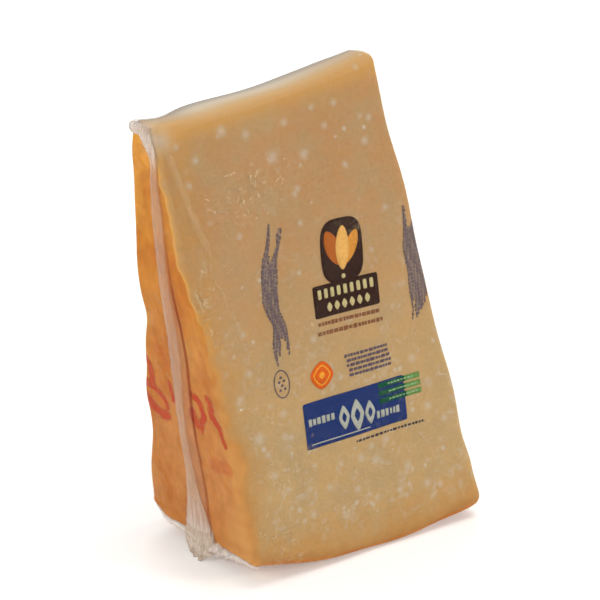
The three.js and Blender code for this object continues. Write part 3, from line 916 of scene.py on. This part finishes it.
def finishPrint(name, bm):
    # cuts the flat shapes into strips and lays them on the printed face
    every = printLook["cutEvery"]
    for axis in (0, 2):
        low, high = (pick(vert.co[axis] for vert in bm.verts) for pick in (min, max))
        for k in range(int(low / every), int(high / every) + 1):
            cut, normal = Vector((0, 0, 0)), Vector((0, 0, 0))
            cut[axis], normal[axis] = k * every + 0.013, 1     # just beside a shape's own edges
            whole = bm.verts[:] + bm.edges[:] + bm.faces[:]
            bmesh.ops.bisect_plane(bm, geom=whole, dist=1e-5, plane_co=cut, plane_no=normal)
    for vert in bm.verts:
        lift = printLook["under"] + printLook["layerStep"] * round(vert.co.y)
        vert.co = stand(frontPoint(vert.co.x, vert.co.z, lift))
    piece = finishPiece(name, bm, inkMaterials, outward=Vector((0, -1, 0)))
    coat = piece.modifiers.new("inkFilm", "SOLIDIFY")
    coat.thickness = printLook["coat"] / 1000
    coat.offset = -1.0


# a fan of leaves on a dark tile
emblem = {"at": (67.9, 102.3), "turn": 8.0, "tile": (20.0, 24.6)}
bm = bmesh.new()
addShapes(bm, emblem, [
    (0, 0, emblem["tile"], "dark", 0, 0, 3.4, 64),
    (-4.0, 1.2, (7.0, 15.0), "orange", 1, -24, 1.75, 28),
    (4.4, 0.6, (5.6, 13.5), "amber", 1, 26, 1.75, 28),
    (0.4, 0.8, (6.4, 17.0), "straw", 2, 3, 1.75, 28),
    (0, -10.1, (1.9, 1.9), "pale", 1, -emblem["turn"], 2, 16),
])
finishPrint("emblemPrint", bm)

# a dark band with bars and lozenges, and two rows of brown dashes under it
band = {
    "at": (65.6, 84.8), "turn": 7.3, "size": (30.9, 12.3),
    "bars": 9, "barStep": 3.1,
    "lozenges": 6, "lozengeStep": 3.6,
}
bm = bmesh.new()
addShapes(bm, band, [(0, 0, band["size"], "dark", 0, 0, 26, 64)])
addShapes(bm, band, [(-12.4 + band["barStep"] * k, 2.7, (1.75, 3.7), "pale", 1, 0, 5, 16)
                     for k in range(band["bars"])])
addShapes(bm, band, [(-8.2 + band["lozengeStep"] * k, -2.7, (2.5, 3.7), "pale", 1, 0, 1.35, 16)
                     for k in range(band["lozenges"])])
for up, length in [(-8.6, 30.0), (-12.2, 31.0)]:
    addRow(bm, turned(band, 0.6, up), length, 1.5, "brown", 0, band["turn"] + 0.6, (0.9, 2.2), 0.45)
finishPrint("bandPrint", bm)

# an orange diamond with yellow rims, and a block of small dashes
badge = {"at": (47.6, 58.9), "turn": 12.0, "size": 11.0}
dashBlock = {"at": (69.5, 57.2), "turn": 6.8, "rows": 5, "length": 21.5}
bm = bmesh.new()
addShapes(bm, badge, [(0, 0, (badge["size"] * share,) * 2, ink, layer, 0, 1.5, 40) for share, ink, layer in [
    (1.0, "seal", 0), (0.74, "yellow", 1), (0.62, "seal", 2), (0.26, "yellow", 3)]])
for k in range(dashBlock["rows"]):
    spot = turned(dashBlock, 0.4 * k, 3.8 - 1.95 * k)
    addRow(bm, spot, dashBlock["length"] - k % 2, 1.15, "violet", 0, dashBlock["turn"], (0.7, 2.2), 0.35)
finishPrint("badgePrint", bm)

# a blue field with three lozenges, a thin line and rows of dashes; green bars at its right
field = {"at": (59.4, 39.3), "turn": 6.4, "size": (48.6, 18.0)}
bm = bmesh.new()
addShapes(bm, field, [(0, 0, field["size"], "blue", 0, 0, 40, 64)])
for right, up, wide, high in [(-5.8, -0.5, 5.0, 9.5), (0.4, -1.0, 6.4, 12.5), (6.6, -1.5, 5.0, 9.5)]:
    addShapes(bm, field, [
        (right, up, (wide, high), "blueGrey", 1, 0, 1.3, 24),
        (right, up, (wide * 0.42, high * 0.42), "blue", 2, 0, 1.3, 16),
    ])
for right, up, length in [(-15.6, 1.2, 13.5), (16.0, -3.6, 12.5)]:
    addRow(bm, turned(field, right, up), length, 2.7, "blueGrey", 1, field["turn"], (0.9, 1.9), 0.6)
addShapes(bm, field, [(-8.0, -7.4, (28.0, 0.45), "blueGrey", 1, 0)])
for k in range(3):
    left, right, up = 11.6, 25.0, 7.4 - 3.05 * k
    addShapes(bm, field, [
        ((left + right) / 2, up, (right - left, 2.15), "green", 2, 0),
        (right + 3.6, up, (7.2, 2.15), "leaf", 2, 0),
    ])
    addRow(bm, turned(field, right - 1.5, up), 14.0, 0.55, "mint", 3, field["turn"], (0.8, 1.8), 0.5)
addRow(bm, turned(field, 15.9, -11.4), 34.0, 0.95, "navy", 0, 6.2, (0.6, 2.0), 0.55)
finishPrint("fieldPrint", bm)

# wavy columns of dashes at both sides
columnLook = {
    "width": 0.76,
    # the two edge lines from the top down, and where each column starts and stops between their ends
    "left": {
        "a": [(38.1, 122.8), (34.6, 114.0), (30.8, 105.5), (29.1, 97.1), (29.3, 90.2), (30.3, 84.0),
              (29.0, 77.0), (28.5, 69.6)],
        "b": [(43.2, 122.8), (41.0, 114.0), (37.6, 106.7), (35.8, 97.5), (34.4, 89.5), (35.6, 83.0),
              (35.6, 77.0), (33.6, 69.6)],
        "ends": [(0.02, 1.0), (0.05, 0.93), (0.20, 0.90), (0.28, 0.86), (0.26, 0.80), (0.20, 0.84),
                 (0.09, 0.88), (0.07, 0.94)],
    },
    "right": {
        "a": [(99.4, 110.1), (97.8, 102.0), (96.6, 95.0), (96.1, 88.0), (95.9, 80.0), (95.6, 73.0),
              (94.7, 64.9)],
        "b": [(103.0, 110.1), (103.2, 102.0), (103.6, 95.0), (104.4, 88.0), (104.6, 80.0), (104.2, 73.0),
              (103.4, 64.9)],
        "ends": [(0.0, 0.98), (0.04, 0.84), (0.12, 1.0), (0.20, 0.97), (0.22, 0.92), (0.20, 0.90),
                 (0.18, 0.88), (0.17, 0.84), (0.16, 0.82)],
    },
}
bm = bmesh.new()
for side in (columnLook["left"], columnLook["right"]):
    addColumns(bm, side["a"], side["b"], side["ends"], columnLook["width"])
finishPrint("columnPrint", bm)

# an oval ring of short ticks with six dots in it, under the left columns
stamp = {"at": (29.0, 62.3), "turn": 0.0, "size": (6.8, 10.8), "ticks": 30}
bm = bmesh.new()
wide, high = stamp["size"]
for k in range(stamp["ticks"]):
    s, c = math.sin(2 * math.pi * k / stamp["ticks"]), math.cos(2 * math.pi * k / stamp["ticks"])
    lean = 90 + math.degrees(math.atan2(high * s, wide * c))
    addShapes(bm, stamp, [(wide / 2 * s, high / 2 * c, (0.42, 1.05), "violet", 0, lean)])
for right, up in [(0, 2.6), (-1.1, 1.0), (1.1, 1.0), (0, -0.6), (-1.1, -2.2), (1.1, -2.2)]:
    addShapes(bm, stamp, [(right, up, (0.95, 0.95), "violet", 0, 45)])
finishPrint("stampPrint", bm)

# marker strokes on the rind, and the film's creases


def addRibbon(bm, points, width, place, steps, across, layers):
    # a ribbon along a smooth line; place turns a point of it and how far out from its middle into 3D
    made = bmesh.ops.create_grid(bm, x_segments=steps, y_segments=across, size=1.0)["verts"]
    for vert in made:
        t, s = (vert.co.x + 1) / 2, vert.co.y
        ahead = (lineAt(points, t + 0.01) - lineAt(points, t - 0.01)).normalized()
        taper = clamp(math.sin(math.pi * clamp(t, 0.01, 0.99)) * 2.5) ** 0.5
        spot = lineAt(points, t) + Vector((-ahead.y, ahead.x)) * s * width / 2 * taper
        vert[layers[0]], vert[layers[1]] = abs(s), taper
        vert.co = stand(place(spot.x, spot.y, s, taper))
    return made


marks = {
    "ink": "#AE2408",
    "thinInk": "#EA6C26",    # where it is thin, the rind glows through it
    "under": -0.26,
    "strokeStrength": 0.74,
    "faintStrength": 0.22,
    "blotSize": 2.2,         # mm across its blotches
    "strokes": [             # width, then y and z of its points on the rind face
        (5.0, [(29.0, 73.0), (24.5, 70.0), (21.0, 64.5), (21.5, 59.0), (25.5, 56.0)]),
        (5.0, [(28.5, 58.5), (27.0, 53.5), (23.0, 49.5), (19.0, 47.6)]),
        (6.4, [(28.0, 50.5), (23.0, 47.2), (16.5, 46.6), (11.5, 49.0)]),
        (4.4, [(27.0, 58.0), (20.0, 57.0), (14.0, 53.5), (12.5, 50.0)]),
        (4.0, [(9.8, 64.0), (8.0, 59.5), (7.6, 55.0)]),
        (4.6, [(-5.0, 63.4), (-9.4, 63.0), (-12.4, 59.5), (-12.6, 54.8), (-9.4, 51.6)]),
        (6.0, [(-4.8, 58.0), (-6.6, 53.8), (-10.4, 51.0), (-12.0, 50.0)]),
        (4.8, [(-15.2, 66.0), (-18.6, 62.5), (-18.2, 58.5), (-21.4, 55.0), (-24.0, 50.5)]),
        (3.6, [(-22.6, 52.2), (-24.4, 49.4), (-25.6, 46.4)]),
    ],
    "faint": [
        (7.5, [(-12.0, 36.5), (-18.0, 37.6), (-24.0, 38.4), (-29.0, 37.6)]),
        (4.0, [(15.0, 78.0), (10.5, 74.0), (8.0, 69.0)]),
    ],
}


def soakedMarker(name, strength):
    # Oil-proof marker soaked into a waxy rind: thin, blotchy, soft at its edges
    material, tree = newMaterial(name)
    mm = millimetres(tree)
    side, body = (
        addNode(tree, "Attribute", attribute_name=layer).outputs["Fac"] for layer in ("across", "taper"))
    blot = addNode(tree, "TexNoise", {"Vector": mm, "Scale": 1 / marks["blotSize"], "Detail": 3.0})
    wobble = addNode(tree, "Math", [blot, 0.9, side], operation="MULTIPLY_ADD")
    soft = addNode(tree, "MapRange", [wobble, 0.82, 1.50, 1.0, 0.0], **softly)
    dense = addNode(tree, "MapRange", [blot, 0.3, 0.7, strength * 1.25, strength * 0.7])
    cover = addNode(tree, "Math", [soft, dense], operation="MULTIPLY")
    faded = addNode(tree, "Math", [cover, body], operation="MULTIPLY", use_clamp=True)
    red = addNode(tree, "Mix", {0: faded, 6: marks["thinInk"], 7: marks["ink"]}, data_type="RGBA")
    surface = addNode(tree, "BsdfPrincipled", {
        "Base Color": red, "Roughness": 0.6, "IOR": 1.45, "Specular IOR Level": 0.1, "Alpha": faded})
    addNode(tree, "OutputMaterial", {"Surface": surface})
    return material


def strokePoint(y, z, s, taper):
    return rindPoint(y, z, marks["under"])


for name, strokes, strength in [("rindMarks", marks["strokes"], marks["strokeStrength"]),
                                ("faintRindMark", marks["faint"], marks["faintStrength"])]:
    bm = bmesh.new()
    layers = [bm.verts.layers.float.new(layer) for layer in ("across", "taper")]
    for width, points in strokes:
        addRibbon(bm, points, width, strokePoint, 30, 6, layers)
    finishPiece(name, bm, [soakedMarker(name + "Ink", strength)], outward=Vector((-1, 0, 0)))

creaseLook = {
    "shine": 0.10,
    "crinkle": 0.2,
    "lift": 0.03,            # mm above the film
    "short": 190,
    # how wide and how high in mm, how milky (partly a painted glint), and x and z of the points on the
    # printed face
    "long": [
        (4.0, 0.30, 0.14, [(1.6, 160.0), (2.9, 155.0), (4.9, 145.0), (6.0, 136.0), (8.2, 126.7),
                           (9.6, 121.0)]),
        (1.2, 0.35, 0.10, [(10.5, 135.9), (16.0, 134.6), (22.6, 131.6)]),
        (0.9, 0.40, 0.12, [(6.4, 7.4), (13.0, 7.6), (20.0, 6.8), (25.0, 7.6)]),
        (1.0, 0.35, 0.10, [(1.7, 102.3), (4.5, 101.4), (7.6, 102.7)]),
        (0.9, 0.30, 0.08, [(14.2, 110.2), (17.0, 111.6), (20.2, 111.2)]),
        (1.4, 0.30, 0.08, [(9.3, 120.3), (8.6, 112.0), (12.0, 104.0), (12.6, 96.0)]),
        (1.3, 0.30, 0.07, [(20.5, 140.5), (30.0, 138.0), (38.0, 134.0), (47.5, 131.6)]),
        (1.0, 0.30, 0.08, [(31.0, 30.4), (30.0, 24.0), (32.0, 18.0)]),
        (1.1, 0.30, 0.08, [(46.5, 81.0), (47.5, 75.0), (50.5, 71.5)]),
        (1.5, 0.35, 0.24, [(0.4, 109.5), (0.7, 106.5), (1.6, 103.8), (1.8, 101.0)]),
        (1.2, 0.35, 0.15, [(2.4, 105.6), (4.6, 104.6), (7.2, 105.0)]),
        (1.2, 0.35, 0.15, [(3.0, 102.2), (5.6, 101.4), (8.4, 102.4)]),
        (1.0, 0.30, 0.12, [(3.6, 109.0), (5.8, 108.0), (7.6, 109.0)]),
    ],
}
creases = list(creaseLook["long"])

# and many short bent ones where the film is crinkled; their cream milk is partly a painted glint
for k in range(creaseLook["short"]):
    x, z, reach, part = chance.choices(crinkled, [spot[2] ** 2 * spot[3] ** 1.5 for spot in crinkled])[0]
    middle = Vector((x + chance.gauss(0, 0.45) * reach, z + chance.gauss(0, 0.45) * reach))
    if not 0 < middle.x < 100 or middle.y > 164:
        continue
    along = Vector((chance.uniform(0.3, 1.7) * (0.6 + 0.4 * part), 0))
    along.rotate(Matrix.Rotation(chance.uniform(0, math.pi), 2))
    bend = Vector((-along.y, along.x)) * chance.uniform(-0.7, 0.7)
    width, height = chance.uniform(0.8, 2.0), chance.uniform(0.08, 0.25)
    # partly milky crinkle, partly a painted glint
    milk = chance.uniform(0.05, 0.19) * part ** 0.5
    creases.append((width, height, milk, [middle - along, middle + bend, middle + along]))


def creasePoint(x, z, s, taper):
    raised = height * taper * (1 - s * s) * (0.8 + 0.5 * noise.noise(Vector((x, z, 0)) / 3))
    return frontPoint(x, z, creaseLook["lift"] + raised)


bm = bmesh.new()
layers = [bm.verts.layers.float.new(name) for name in ("across", "taper", "haze", "crinkle")]
for width, height, milk, points in creases:
    steps = 70 if len(points) > 4 else 14
    for vert in addRibbon(bm, points, width, creasePoint, steps, 6, layers):
        # the milk stands partly for the glints on the creases: painted highlight
        vert[layers[2]] = milk * (1 - vert[layers[0]] ** 2) * vert[layers[1]]
        vert[layers[3]] = creaseLook["crinkle"]
creaseFilm = vacuumFilm("pinchedFilm", creaseLook["shine"])
finishPiece("filmCreases", bm, [creaseFilm], outward=Vector((0, -1, 0)))
print("print, marks and creases made")
